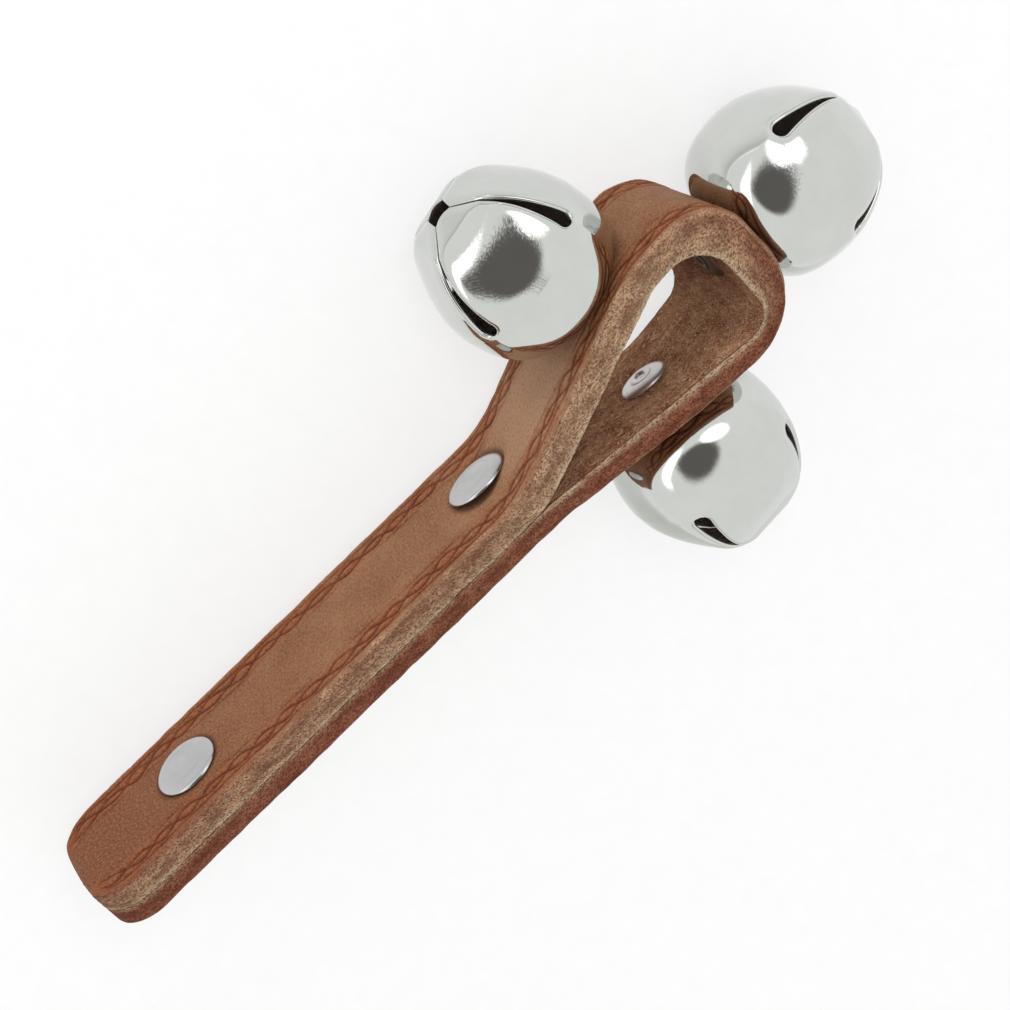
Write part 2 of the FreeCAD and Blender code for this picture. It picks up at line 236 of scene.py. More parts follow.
# Colours are (red, green, blue), in linear light.
DULL_TAN = (0.190, 0.076, 0.035)
BRIGHT_TAN = (0.258, 0.122, 0.060)
DYED_TAN = (0.150, 0.043, 0.019)
# Painted light: the paler tan along the front run, where the front bell throws light onto the
# strap.
PAINTED_BELL_LIGHT_TAN = (0.46, 0.272, 0.165)
BORDER_RED = (0.245, 0.068, 0.023)
PALE_FLECK = (0.35, 0.205, 0.105)
DARK_FLECK = (0.080, 0.029, 0.014)
PRESSED_RED = (0.085, 0.014, 0.006)
# Painted shadow round the handle rivets' caps.
PAINTED_CAP_SHADOW = (0.030, 0.010, 0.006)
RAW_FIBRES = ((0.140, 0.060, 0.034), (0.520, 0.340, 0.212))     # dark and light ones
DYED_FIBRES = ((0.095, 0.024, 0.013), (0.310, 0.125, 0.073))
FRAYED_FIBRES = (0.56, 0.44, 0.29)
SUEDE = ((0.350, 0.118, 0.058), (0.720, 0.370, 0.205))
SUEDE_TIPS = (0.95, 0.72, 0.47)
SUEDE_PITS = (0.085, 0.028, 0.015)
# Painted shade inside the loop's turn.
SUEDE_TURN_SHADE = (0.12, 0.028, 0.013)


def strap_noise(tree, stretch, scale, detail, roughness, distortion=0.0):
    return add(tree, "TexNoise", Vector=coordinates(tree, stretch), Scale=scale, Detail=detail,
               Roughness=roughness, Distortion=distortion).outputs[0]


def strap_value(tree, name):
    """One of the values that the strap's mesh holds at each of its points."""
    return add(tree, "Attribute", {"attribute_name": name}).outputs["Fac"]


def edge_fibres(tree, redness):
    """The colour of cut leather: short pale and dark fibres, redder where the dye went in."""
    fibres = strap_noise(tree, (0.7, 1.2, 1.2), 3600.0, 2.0, 0.6)
    clumps = strap_noise(tree, (0.35, 1, 1), 500.0, 4.0, 0.7)
    dark, light = (mix(tree, redness, raw, dyed) for raw, dyed in zip(RAW_FIBRES, DYED_FIBRES))
    colour = mix(tree, steps(tree, fibres, (0.34, 0.0), (0.62, 1.0)), dark, light)
    colour = mix(tree, steps(tree, clumps, (0.36, 0.75), (0.60, 0.0)), colour, dark)
    return colour, fibres, clumps


def painted_shadow_round_cap(tree, along, across):
    """Painted shadow round a handle rivet's cap: 1 under the cap, 0 a little way outside its rim,
    with a soft edge between.
    """
    place = add(tree, "Attribute", {"attribute_name": "strap_place"})
    distance = add(tree, "VectorMath", {"operation": "DISTANCE"})
    plug(tree, distance.inputs[0], place.outputs["Vector"])
    plug(tree, distance.inputs[1], (along * MM, across * MM, 0.0))
    in_cap_widths = calculate(tree, "DIVIDE", distance.outputs["Value"], 2 * CAP_RADIUS * MM)
    return steps(tree, in_cap_widths, (0.505, 0.70), (0.575, 0.0))


def grain_leather():
    """Oiled harness leather: tan, with a redder embossed border and dark red pressed lines."""
    material, tree = new_material("grain_leather")
    cloud = strap_noise(tree, (1, 1, 1), 90.0, 6.0, 0.6)
    mottle = strap_noise(tree, (1, 1, 1), 2000.0, 3.0, 0.7)
    pores = add(tree, "TexVoronoi", Vector=coordinates(tree, (1, 1.25, 1)), Scale=2600.0).outputs[0]
    wrinkle = strap_noise(tree, (0.35, 1, 1), 700.0, 5.0, 0.6, distortion=0.6)
    red = strap_value(tree, "redness")
    worn = strap_value(tree, "worn")

    colour = mix(tree, steps(tree, cloud, (0.35, 0.0), (0.65, 1.0)), DULL_TAN, BRIGHT_TAN)
    colour = mix(tree, calculate(tree, "MULTIPLY", red, 0.9), colour, DYED_TAN)
    # Painted light: the strap is lightened along the front run, under the front bell.
    painted_bell_light = calculate(tree, "MULTIPLY", strap_value(tree, "pale"), 0.60)
    colour = mix(tree, painted_bell_light, colour, PAINTED_BELL_LIGHT_TAN)
    streaks = calculate(tree, "MULTIPLY", strap_value(tree, "border"),
                        steps(tree, wrinkle, (0.38, 0.10), (0.60, 0.90)))
    colour = mix(tree, streaks, colour, BORDER_RED)
    colour = mix(tree, steps(tree, mottle, (0.46, 0.0), (0.72, 0.55)), colour, PALE_FLECK)
    colour = mix(tree, steps(tree, mottle, (0.30, 0.65), (0.50, 0.0)), colour, DARK_FLECK)
    fibres, fibre_height, _ = edge_fibres(tree, red)
    worn_here = calculate(tree, "MULTIPLY", worn, steps(tree, wrinkle, (0.36, 0.45), (0.56, 1.0)))
    colour = mix(tree, worn_here, colour, fibres)
    pressed = calculate(tree, "MULTIPLY", strap_value(tree, "groove"),
                        steps(tree, cloud, (0.30, 1.0), (0.70, 0.75)))
    colour = mix(tree, pressed, colour, PRESSED_RED)
    # Painted shadow: the leather is darkened in a ring round each rivet cap, where the cap shades
    # it.
    for along, across in CAP_SPOTS:
        colour = mix(tree, painted_shadow_round_cap(tree, along, across), colour, PAINTED_CAP_SHADOW)

    height = calculate(tree, "ADD", calculate(tree, "MULTIPLY", wrinkle, 0.8),
                       calculate(tree, "MULTIPLY", pores, 0.35))
    height = calculate(tree, "ADD", height, calculate(tree, "MULTIPLY", worn, fibre_height))
    bump = add(tree, "Bump", Height=height, Strength=0.75, Distance=0.00022)
    gloss = steps(tree, mottle, (0.2, 0.46), (0.8, 0.62))
    finish_material(tree, Base_Color=colour, Roughness=gloss, Normal=bump.outputs[0],
                    Specular_IOR_Level=0.08)
    return material


def cut_leather():
    """The raw cut edge, with a pale frayed line along the corner of the rough side."""
    material, tree = new_material("cut_leather")
    colour, fibres, clumps = edge_fibres(tree, strap_value(tree, "redness"))
    fuzz = calculate(tree, "MULTIPLY", strap_value(tree, "frayed"),
                     steps(tree, fibres, (0.34, 0.05), (0.56, 0.95)))
    colour = mix(tree, fuzz, colour, FRAYED_FIBRES)
    bump = add(tree, "Bump", Height=fibres, Strength=1.0, Distance=0.00045)
    rough = steps(tree, clumps, (0.2, 0.80), (0.8, 0.95))
    finish_material(tree, Base_Color=colour, Roughness=rough, Normal=bump.outputs[0],
                    Specular_IOR_Level=0.06)
    return material


def flesh_leather():
    """The rough inner side: brown suede with matted fibres, and painted shade in the turn."""
    material, tree = new_material("flesh_leather")
    fibres = strap_noise(tree, (0.8, 1, 1), 1350.0, 4.0, 0.75, distortion=2.0)
    patches = strap_noise(tree, (0.7, 1, 1), 210.0, 5.0, 0.65)
    colour = mix(tree, steps(tree, patches, (0.35, 0.0), (0.65, 1.0)), *SUEDE)
    colour = mix(tree, steps(tree, fibres, (0.52, 0.0), (0.64, 0.9)), colour, SUEDE_TIPS)
    colour = mix(tree, steps(tree, fibres, (0.36, 0.9), (0.48, 0.0)), colour, SUEDE_PITS)
    # Painted shade: the suede darkens in the turn beside the tip bell, where the loop's inside lies
    # in shadow.
    turn_shade = calculate(tree, "MULTIPLY", strap_value(tree, "redness"), 0.85)
    colour = mix(tree, turn_shade, colour, SUEDE_TURN_SHADE)
    bump = add(tree, "Bump", Height=fibres, Strength=1.0, Distance=0.0009)
    rough = steps(tree, patches, (0.2, 0.86), (0.8, 0.97))
    finish_material(tree, Base_Color=colour, Roughness=rough, Normal=bump.outputs[0],
                    Specular_IOR_Level=0.05)
    return material


# ---------------------------------------------------------------- metal materials

def plated_metal(name, dark, light, roughness, dent, scratch):
    """Bright nickel plate: faint cloudiness, fine hairline marks and slightly uneven stamping."""
    material, tree = new_material(name)
    cloud = add(tree, "TexNoise", Vector=own_coordinates(tree),
                Scale=160.0, Detail=4.0, Roughness=0.55)
    marks = add(tree, "TexNoise", Vector=own_coordinates(tree, (1, 9, 2)),
                Scale=1400.0, Detail=3.0, Roughness=0.6)
    swell = add(tree, "TexNoise", Vector=own_coordinates(tree), Scale=75.0, Detail=1.0)
    colour = mix(tree, steps(tree, cloud.outputs[0], (0.3, 0.0), (0.7, 1.0)), dark, light)
    low, high = roughness
    gloss = steps(tree, marks.outputs[0], (0.35, low), (0.75, high))
    waves = add(tree, "Bump", Height=swell.outputs[0], Strength=dent, Distance=0.0010)
    hairlines = add(tree, "Bump", Height=marks.outputs[0], Strength=scratch, Distance=0.00003,
                    Normal=waves.outputs[0])
    finish_material(tree, Base_Color=colour, Metallic=1.0, Roughness=gloss,
                    Normal=hairlines.outputs[0])
    return material


# ---------------------------------------------------------------- leather strap

# Places along the strap, from the front layer's butt end.
SWING_OUT = 85.0            # a little before the front layer leaves the handle for the loop
FRONT_RUN = 118.0           # the loop's front run, under the front bell
TIP_TURN = 160.0            # the sharp turn beside the tip bell
BACK_RUN = (185.0, 250.0)   # the loop's back run, as far as the handle

PLAIN_HALF_WIDTH = 7.6      # of the strap's middle, which needs fewer points than its border
CROSSING_INSET = 4.1        # of the border's crossing lines, from the cut edge
CROSSING_SPACING = 6.3      # from one crossing to the next
STRAIGHT_LINES = ((2.1, 0.30, 0.85), (6.3, 0.22, 0.30))     # inset, width and strength
GROOVE_DEPTH = 0.40
FRAY_WIDTH = 0.62

SIDES = ("grain", "cut", "flesh")
LOOKS = ("groove", "border", "redness", "frayed", "worn", "pale")


def unit(vector):
    return vector / np.linalg.norm(vector)


def corner_arc(before, corner, after, radius):
    """Start, centre and end of the arc that rounds one corner."""
    back = unit(before - corner)
    ahead = unit(after - corner)
    half_angle = math.acos(float(np.clip(back @ ahead, -1, 1))) / 2
    tangent = radius / math.tan(half_angle)
    centre = corner + unit(back + ahead) * radius / math.sin(half_angle)
    return corner + back * tangent, centre, corner + ahead * tangent


def split_arc(start, centre, end, count):
    """Points from start, which is left out, to end."""
    first = math.atan2(*(start - centre)[::-1])
    turn = math.atan2(*(end - centre)[::-1]) - first
    turn = (turn + math.pi) % (2 * math.pi) - math.pi
    radius = np.linalg.norm(start - centre)
    angles = first + turn * np.arange(1, count + 1) / count
    return centre + radius * np.column_stack((np.cos(angles), np.sin(angles)))


def handle_end(level, reversed_end=False):
    """Places along the first stretch of the handle, close together where its corners are round."""
    share = np.linspace(0, math.pi / 2, 22)
    places = BUTT_RADIUS * (1 - np.cos(share))
    points = np.column_stack((places, np.full(len(places), level)))
    return points[::-1] if reversed_end else points


def strap_line(corners, level, counts=None, step=0.5):
    """One outline of the strap from butt to butt, and how many points each stretch of it got."""
    start = np.array((BUTT_RADIUS, level))
    end = np.array((BUTT_RADIUS, -level))
    places = [start] + [np.array(corner[:2]) for corner in corners] + [end]
    stretches = []
    last = start
    for index, corner in enumerate(corners):
        arc_start, centre, arc_end = corner_arc(*places[index:index + 3], corner[2])
        stretches += [(last, None, arc_start), (arc_start, centre, arc_end)]
        last = arc_end
    stretches.append((last, None, end))
    if counts is None:
        counts = [max(4, round(np.linalg.norm(second - first) / step))
                  for first, _, second in stretches]
    line = [handle_end(level)]
    for (first, centre, second), count in zip(stretches, counts):
        if centre is None:
            share = np.arange(1, count + 1)[:, None] / count
            line.append(first + (second - first) * share)
        else:
            line.append(split_arc(first, centre, second, count))
    line.append(handle_end(-level, reversed_end=True)[1:])
    return np.vstack(line), counts


def even_out(line):
    """The same line with its points' spacing smoothed, away from the butt ends."""
    steps_along = np.linalg.norm(np.diff(line, axis=0), axis=1)
    places = np.concatenate(([0.0], np.cumsum(steps_along)))
    reach = 20
    averaged = places.copy()
    kernel = np.full(2 * reach + 1, 1 / (2 * reach + 1))
    averaged[reach:-reach] = np.convolve(places, kernel, "valid")
    rows = np.arange(len(line))
    share = np.clip((np.minimum(rows, rows[::-1]) - 24) / 24, 0, 1)
    wanted = places + (averaged - places) * share
    return np.column_stack([np.interp(wanted, places, line[:, axis]) for axis in (0, 1)])


def strap_section():
    """The strap's cross-section as rows of (across, depth, face), all the way round. The face is
    that of the stretch that ends at the row."""
    flat = HALF_WIDTH - GRAIN_CORNER
    band = np.linspace(PLAIN_HALF_WIDTH, flat, 23)[1:]
    plain = np.linspace(-PLAIN_HALF_WIDTH, PLAIN_HALF_WIDTH, 15)
    across = np.concatenate((-band[::-1], plain, band))
    depths = np.linspace(GRAIN_CORNER, LAYER - FLESH_CORNER, 10)[1:]
    quarter = np.linspace(0, math.pi / 2, 7)[1:]
    half = [(z, 0.0, "grain") for z in across[len(across) // 2:]]
    for angle in quarter:
        half.append((flat + GRAIN_CORNER * math.sin(angle),
                     GRAIN_CORNER * (1 - math.cos(angle)),
                     "grain" if angle < 0.9 else "cut"))
    for depth in depths:
        half.append((HALF_WIDTH, depth, "cut"))
    for angle in quarter[1::2]:
        half.append((HALF_WIDTH - FLESH_CORNER * (1 - math.cos(angle)),
                     LAYER - FLESH_CORNER * (1 - math.sin(angle)), "cut"))
    for z in np.linspace(HALF_WIDTH - FLESH_CORNER, 0, 17)[1:]:
        half.append((z, LAYER, "flesh"))
    faces = [face for _, _, face in half]
    back = [(-z, depth, face) for (z, depth, _), face in zip(half[:-1], faces[1:])]
    return half + back[:0:-1]


def butt_triangles(section):
    """Triangles that close an end of the strap, from its rough half across to its smooth half."""
    inner = [column for column, (_, depth, _) in enumerate(section) if depth > LAYER / 2]
    outer = [*range(inner[-1] + 1, len(section)), *range(inner[0])][::-1]
    triangles = []
    while len(inner) > 1 or len(outer) > 1:
        if len(outer) == 1 or (len(inner) > 1 and section[inner[1]][0] >= section[outer[1]][0]):
            triangles.append((inner[0], inner[1], outer[0]))
            inner = inner[1:]
        else:
            triangles.append((inner[0], outer[1], outer[0]))
            outer = outer[1:]
    return triangles


def pressed_line(distance, width, strength):
    return strength * math.exp(-(distance / width) ** 2)


def border_lines(z, along):
    """How deep the border's pressed lines are here, from 0 to 1: two that cross each other again
    and again, and a fainter straight one on either side of them."""
    from_edge = HALF_WIDTH - abs(z)
    side = 0.0 if z > 0 else 2.1
    drift = 0.5 * noise.noise(Vector((along * 0.11, side, 0.0)))
    turn = math.pi * along / CROSSING_SPACING + side
    turn += 1.2 * noise.noise(Vector((along * 0.05, side, 7.0)))
    swing = (1.05 + 0.6 * noise.noise(Vector((along * 0.15, side, 3.0)))) * math.sin(turn)
    depth = 0.0
    for sign in (1, -1):
        strength = 1.15 + 0.75 * noise.noise(Vector((along * 0.30, sign * 3.0, side)))
        width = 0.36 + 0.18 * noise.noise(Vector((along * 0.5, sign * 5.0, side)))
        from_line = from_edge - CROSSING_INSET - sign * swing - drift
        depth = max(depth, pressed_line(from_line, width, strength))
    for inset, width, usual in STRAIGHT_LINES:
        strength = usual + 0.9 * noise.noise(Vector((along * 0.13, side, inset)))
        depth = max(depth, pressed_line(from_edge - inset - 0.6 * drift, width, strength))
    return min(max(depth, 0.0), 1.0)


def cut_edge_look(along, depth):
    """How red and how frayed the cut edge is. The dye went in deepest on the back layer, and the
    fibres are loosest on the loop's back run."""
    share = depth / LAYER
    in_front = ease(1 - (along - SWING_OUT) / 20)
    in_back = ease((along - BACK_RUN[0]) / 15) * ease((BACK_RUN[1] - along) / 20)
    redness = max(ease((along - 150) / 45 + 0.9 * (0.5 - share)), in_front * (0.45 - 0.35 * share))
    patchy = 0.75 + 0.8 * noise.noise(Vector((along * 0.22, 0, 11.0)))
    frayed = patchy * math.exp(-((LAYER - depth) / (FRAY_WIDTH + 0.25 * in_back)) ** 2)
    frayed *= 1 - 0.6 * ease((along - (BACK_RUN[1] - 15)) / 15)
    return redness, frayed + 0.25 * in_back * math.exp(-(depth / 0.6) ** 2)


def ease(value):
    """0 below 0, 1 above 1, and smooth between."""
    value = min(max(value, 0.0), 1.0)
    return value * value * (3 - 2 * value)


def press_in(point, place, radius, level, slope, sign):
    """Keep a point of the leather on its own side of a flange that is pressed into it."""
    local = place.inverted() @ Vector(point)
    reach = math.hypot(local.x, local.y) - radius * MM
    limit = level * MM + sign * slope * max(reach, 0.0)
    if reach < 2.5 * MM and 0 < sign * (local.z - limit) < 3.0 * MM:
        local.z = limit
        return np.array(place @ local)
    return point


def press_under_bell(point, place):
    """Keep a point of the leather under the bell's base."""
    local = place.inverted() @ Vector(point)
    radius = math.hypot(local.x, local.y) / MM
    if radius > 15.5 or not -17.0 < local.z / MM < -9.0:
        return point
    base = -BASE_HEIGHT * (1 - (radius / BELL_RADIUS) ** 3) ** (1 / 3) - 0.05
    if local.z / MM > base:
        local.z = base * MM
        return np.array(place @ local)
    return point


def grain_look(along, z, from_end, spot):
    """How one point of the smooth side looks, and how far it is raised."""
    groove = border_lines(z, along) * ease(from_end / 3 - 0.2)
    border = ease((abs(z) - 7.2) / 1.8)
    dyed = (0.95 * ease(1 - along / 75) + 0.6 * ease(1 - abs(along - 112) / 22)
            * ease((abs(z) - 4) / 7) + 0.5 * ease((along - 190) / 30))
    look = {"groove": groove, "border": border, "redness": dyed,
            "worn": ease((abs(z) + 0.8 * noise.noise(spot * 0.4) - 12.3) / 1.5),
            # Painted light along the front run, under the front bell.
            "pale": ease(1 - abs(along - FRONT_RUN) / 34)}
    rise = 0.09 * noise.noise(spot * 0.35) - GROOVE_DEPTH * groove
    rise += 0.14 * border * noise.noise(spot * 0.8)
    return look, rise


def cut_look(along, z, depth, spot):
    """The same for the cut edge."""
    redness, frayed = cut_edge_look(along, depth)
    rise = 0.11 * noise.noise(spot * 2.4) + 0.16 * noise.noise(Vector((along * 0.12, z, 0)))
    return {"redness": redness, "frayed": frayed}, rise


def flesh_look(along, spot):
    """The same for the rough side. Its redness is painted shade, strongest in the turn beside the
    tip bell.
    """
    return {"redness": ease(1 - abs(along - TIP_TURN) / 28)}, -0.10 - 0.16 * noise.noise(spot * 1.3)


def edge_corners(corners, near):
    """The corners of the near or the far cut edge's outline: x, y and radius."""
    first = 0 if near else 2
    return [(*corner[first:first + 2], corner[4]) for corner in corners]


def strap_outlines():
    """The near and far outlines of the smooth side, then those of the rough side."""
    near_line, counts = strap_line(edge_corners(OUTER_CORNERS, True), LAYER)
    lines = [near_line]
    for corners, near, level in ((OUTER_CORNERS, False, LAYER), (INNER_CORNERS, True, SLIT),
                                 (INNER_CORNERS, False, SLIT)):
        lines.append(strap_line(edge_corners(corners, near), level, counts)[0])
    return [even_out(line) for line in lines]


def strap_grid(outlines, section, from_ends):
    """The strap's even surface: a row for each place along it, a column for each of the section."""
    near_line, far_line, near_flesh, far_flesh = outlines
    grid = np.empty((len(near_line), len(section), 3))
    for row, from_end in enumerate(from_ends):
        from_butt = min(from_end, BUTT_RADIUS)
        width = (HALF_WIDTH - BUTT_RADIUS
                 + math.sqrt(BUTT_RADIUS ** 2 - (BUTT_RADIUS - from_butt) ** 2)) / HALF_WIDTH
        rounding = GRAIN_CORNER * (1 - math.sin(math.acos(1 - min(from_butt / GRAIN_CORNER, 1))))
        for column, (z, depth, _) in enumerate(section):
            depth = max(depth, rounding)
            side = (z / HALF_WIDTH + 1) / 2
            outer = far_line[row] + (near_line[row] - far_line[row]) * side
            inner = far_flesh[row] + (near_flesh[row] - far_flesh[row]) * side
            grid[row, column, :2] = outer + (inner - outer) * depth / LAYER
            grid[row, column, 0] -= (BUTT_BULGE * (1 - from_butt / BUTT_RADIUS)
                                     * (1 - (z * width / HALF_WIDTH) ** 2))
            grid[row, column, 2] = z * width
    return grid


def outward_normals(grid):
    lengthways = np.gradient(grid, axis=0)
    around = np.roll(grid, -1, axis=1) - np.roll(grid, 1, axis=1)
    normals = np.cross(around, lengthways)
    normals /= np.linalg.norm(normals, axis=2)[:, :, None]
    middle = grid.mean(axis=1)[:, None, :]
    return -normals if ((grid - middle) * normals).sum() < 0 else normals


def weather(grid, section, along, from_ends):
    """Make the surface uneven, and return each look as an array over its points."""
    normals = outward_normals(grid)
    looks = {name: np.zeros(grid.shape[:2]) for name in LOOKS}
    for row, (place, from_end) in enumerate(zip(along, from_ends)):
        for column, (z, depth, face) in enumerate(section):
            spot = Vector((place * 0.45, z, depth))
            if face == "grain":
                look, rise = grain_look(place, z, from_end, spot)
            elif face == "cut":
                look, rise = cut_look(place, z, depth, spot)
            else:
                look, rise = flesh_look(place, spot)
            for name, value in look.items():
                looks[name][row, column] = value
            grid[row, column] += normals[row, column] * rise
    for row in (0, len(along) - 1):
        for column, (_, depth, _) in enumerate(section):
            redness, frayed = cut_edge_look(along[row], max(depth, GRAIN_CORNER))
            looks["redness"][row, column] = redness
            looks["frayed"][row, column] = frayed
    return looks


def press_leather(grid, presses, bell_places):
    """Move the points, here in metres, that flanges and bells press on."""
    for row in grid:
        for column, point in enumerate(row):
            for press in presses:
                point = press_in(point, *press)
            for place in bell_places:
                point = press_under_bell(point, place)
            row[column] = point


def strap_faces(rows, section):
    """The strap's faces and the number of each one's material."""
    columns = len(section)
    faces = []
    materials = []
    for row in range(rows - 1):
        for column in range(columns):
            after = (column + 1) % columns
            first = row * columns
            second = first + columns
            faces.append((first + column, first + after, second + after, second + column))
            materials.append(SIDES.index(section[after][2]))
    for triangle in butt_triangles(section):
        faces.append(tuple(triangle[::-1]))
        faces.append(tuple((rows - 1) * columns + column for column in triangle))
        materials += [SIDES.index("cut")] * 2
    return faces, materials


def make_strap(presses, bell_places):
    outlines = strap_outlines()
    section = strap_section()
    steps_along = np.linalg.norm(np.diff((outlines[0] + outlines[1]) / 2, axis=0), axis=1)
    along = np.concatenate(([0.0], np.cumsum(steps_along)))
    from_ends = np.minimum(along, along[-1] - along)
    grid = strap_grid(outlines, section, from_ends)
    looks = weather(grid, section, along, from_ends)
    grid *= MM
    press_leather(grid, presses, bell_places)
    faces, materials = strap_faces(len(along), section)
    mesh = bpy.data.meshes.new("folded_strap")
    mesh.from_pydata(grid.reshape(-1, 3).tolist(), [], faces)
    for material in (grain_leather(), cut_leather(), flesh_leather()):
        mesh.materials.append(material)
    mesh.polygons.foreach_set("material_index", materials)
    places = np.empty(grid.shape)
    places[:, :, 0] = along[:, None]
    places[:, :, 1] = [z for z, _, _ in section]
    places[:, :, 2] = [depth for _, depth, _ in section]
    vectors = mesh.attributes.new("strap_place", "FLOAT_VECTOR", "POINT")
    vectors.data.foreach_set("vector", (places * MM).ravel())
    for name, values in looks.items():
        attribute = mesh.attributes.new(name, "FLOAT", "POINT")
        attribute.data.foreach_set("value", np.clip(values, 0, 1).ravel())
    if volume_of(mesh) < 0:
        mesh.flip_normals()
    smooth(mesh)
    strap = new_object("folded_strap", mesh)
    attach(strap, "holder")
    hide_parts("leather_strap")


def volume_of(mesh):
    shape = bmesh.new()
    shape.from_mesh(mesh)
    volume = shape.calc_volume(signed=True)
    shape.free()
    return volume


# ---------------------------------------------------------------- bells

BELL_RADIUS = 16.15         # at the widest place, in the middle of a petal
BASE_HEIGHT = 14.2          # from the leather to the widest place
WALL = 0.8
SLOT_TURN = {"front_bell": 46.5, "tip_bell": 35.0, "back_bell": 32.0}   # degrees about the axis
SLOT_END = 2.5              # height of the slot's round end, above the widest place
SLOT_HALF_WIDTH = 1.6
NECK_HALF_WIDTH = 0.22
EQUATOR_SQUARENESS = 0.18   # of the section at the widest place: 1 is a square, 0 a circle
RIVET_HOLE = 1.9            # radius of the hole in the base
LIP_WIDTH = 1.3             # of the strip along the slots that is turned in
LIP_TURN = 0.35             # how far the lip is turned in

# A petal's profile from the mouth down to the widest place: distance from the axis in the middle of
# the petal, height, and how square the section is there.
PETAL_TIP = ((2.9, 17.0, 1.0), (6.9, 15.1, 1.0))
PETAL_SIDE = ((6.9, 15.1, 1.0), (9.5, 12.95, 0.80), (11.9, 10.3, 0.60), (13.9, 7.2, 0.42),
              (15.4, 3.8, 0.28), (BELL_RADIUS, 0.0, EQUATOR_SQUARENESS))


def bell_place(bell):
    """The bell's own frame: origin at the middle of its widest place, Z its axis, X over a slot."""
    joint = next(j for j in frame["joints"] if j["child"] == f"{bell}_pellet")
    axis = Vector(joint["axis"]).normalized()
    up = Vector((0, 0, 1))
    level = (up - axis * up.dot(axis)).normalized()
    across = Matrix.Rotation(math.radians(SLOT_TURN[bell]), 3, axis) @ level
    place = Matrix((across, axis.cross(across), axis)).transposed().to_4x4()
    place.translation = Vector(joint["pos_m"])
    return place


def petal_profile():
    """Height, distance from the axis and squareness, from the mouth to the rivet hole."""
    curve = [np.array(PETAL_TIP[0]) * (1 - t) + np.array(PETAL_TIP[1]) * t
             for t in np.linspace(0, 1, 9)[:-1]]
    curve += spline_through(PETAL_SIDE, 12)[:-1]
    for share in np.linspace(0, 1, 60) ** 1.5:
        angle = share * math.pi / 2
        height = -BASE_HEIGHT * math.sin(angle) ** (2 / 3)
        curve.append(np.array((BELL_RADIUS * max(math.cos(angle), 0.0) ** (2 / 3), height,
                               EQUATOR_SQUARENESS * (1 - ease(-height / 9)))))
    return np.array(curve)


def slot_half_width(height):
    """Half the slot in the middle surface of the sheet, and 0 below the slot's round end."""
    crease = PETAL_TIP[1][1]
    half_thickness = WALL / 2
    if height >= crease:
        return NECK_HALF_WIDTH + half_thickness
    if height >= SLOT_END:
        share = (crease - height) / (crease - SLOT_END)
        widening = (SLOT_HALF_WIDTH - NECK_HALF_WIDTH) * share ** 1.15
        return NECK_HALF_WIDTH + half_thickness + widening
    below = SLOT_END - height
    return math.sqrt(max((SLOT_HALF_WIDTH + half_thickness) ** 2 - below ** 2, 0.0))


def shell_heights():
    """The rows of a petal, close together at the slot's round end and along the base."""
    end_radius = SLOT_HALF_WIDTH + WALL / 2
    turns = np.linspace(0, math.pi / 2, 12)
    heights = list(np.linspace(PETAL_TIP[0][1], PETAL_TIP[1][1], 6))
    heights += list(np.linspace(PETAL_TIP[1][1], SLOT_END, 30)[1:])
    heights += list(SLOT_END - end_radius * np.sin(turns[1:]))
    lowest = SLOT_END - end_radius
    heights += list(np.linspace(lowest, -12.4, 26)[1:])
    heights += list(-BASE_HEIGHT + 1.8 * (1 - np.linspace(0, 1, 12)[1:]) ** 2.5)
    return heights


def petal_sheet():
    """The middle surface of a bell's sheet metal, in millimetres, as a bmesh."""
    profile = petal_profile()
    falling = profile[::-1]
    half_thickness = WALL / 2
    shares = -np.cos(np.linspace(0, math.pi, 31))
    shape = bmesh.new()
    for petal in range(4):
        direction = math.pi / 4 + petal * math.pi / 2
        rows = []
        for height in shell_heights():
            reach = max(float(np.interp(height, falling[:, 1], falling[:, 0])), RIVET_HOLE)
            square = float(np.interp(height, falling[:, 1], falling[:, 2]))
            corner = reach * math.sqrt(2) ** square
            spread = math.pi / 4 - math.asin(min(slot_half_width(height) / corner, 0.9))
            row = []
            for share in shares:
                angle = share * spread
                distance = (reach - half_thickness) / math.cos(angle) ** square
                point = Vector((distance * math.cos(direction + angle),
                                distance * math.sin(direction + angle), height))
                from_slot = (math.pi / 4 - abs(angle)) * distance
                to_lip = from_slot - slot_half_width(max(height, SLOT_END))
                if height < SLOT_END:
                    to_lip = (math.hypot(from_slot, SLOT_END - height)
                              - SLOT_HALF_WIDTH - half_thickness)
                roll = LIP_TURN * max(0.0, 1 - max(to_lip, 0.0) / LIP_WIDTH) ** 2
                row.append(shape.verts.new(point * (1 - roll / point.length)))
            rows.append(row)
        for upper, lower in zip(rows, rows[1:]):
            for column in range(len(shares) - 1):
                shape.faces.new((upper[column], lower[column],
                                 lower[column + 1], upper[column + 1]))
    bmesh.ops.remove_doubles(shape, verts=shape.verts, dist=0.003)
    bmesh.ops.dissolve_degenerate(shape, dist=1e-4, edges=shape.edges)
    bmesh.ops.recalc_face_normals(shape, faces=shape.faces)
    shape.normal_update()
    return shape


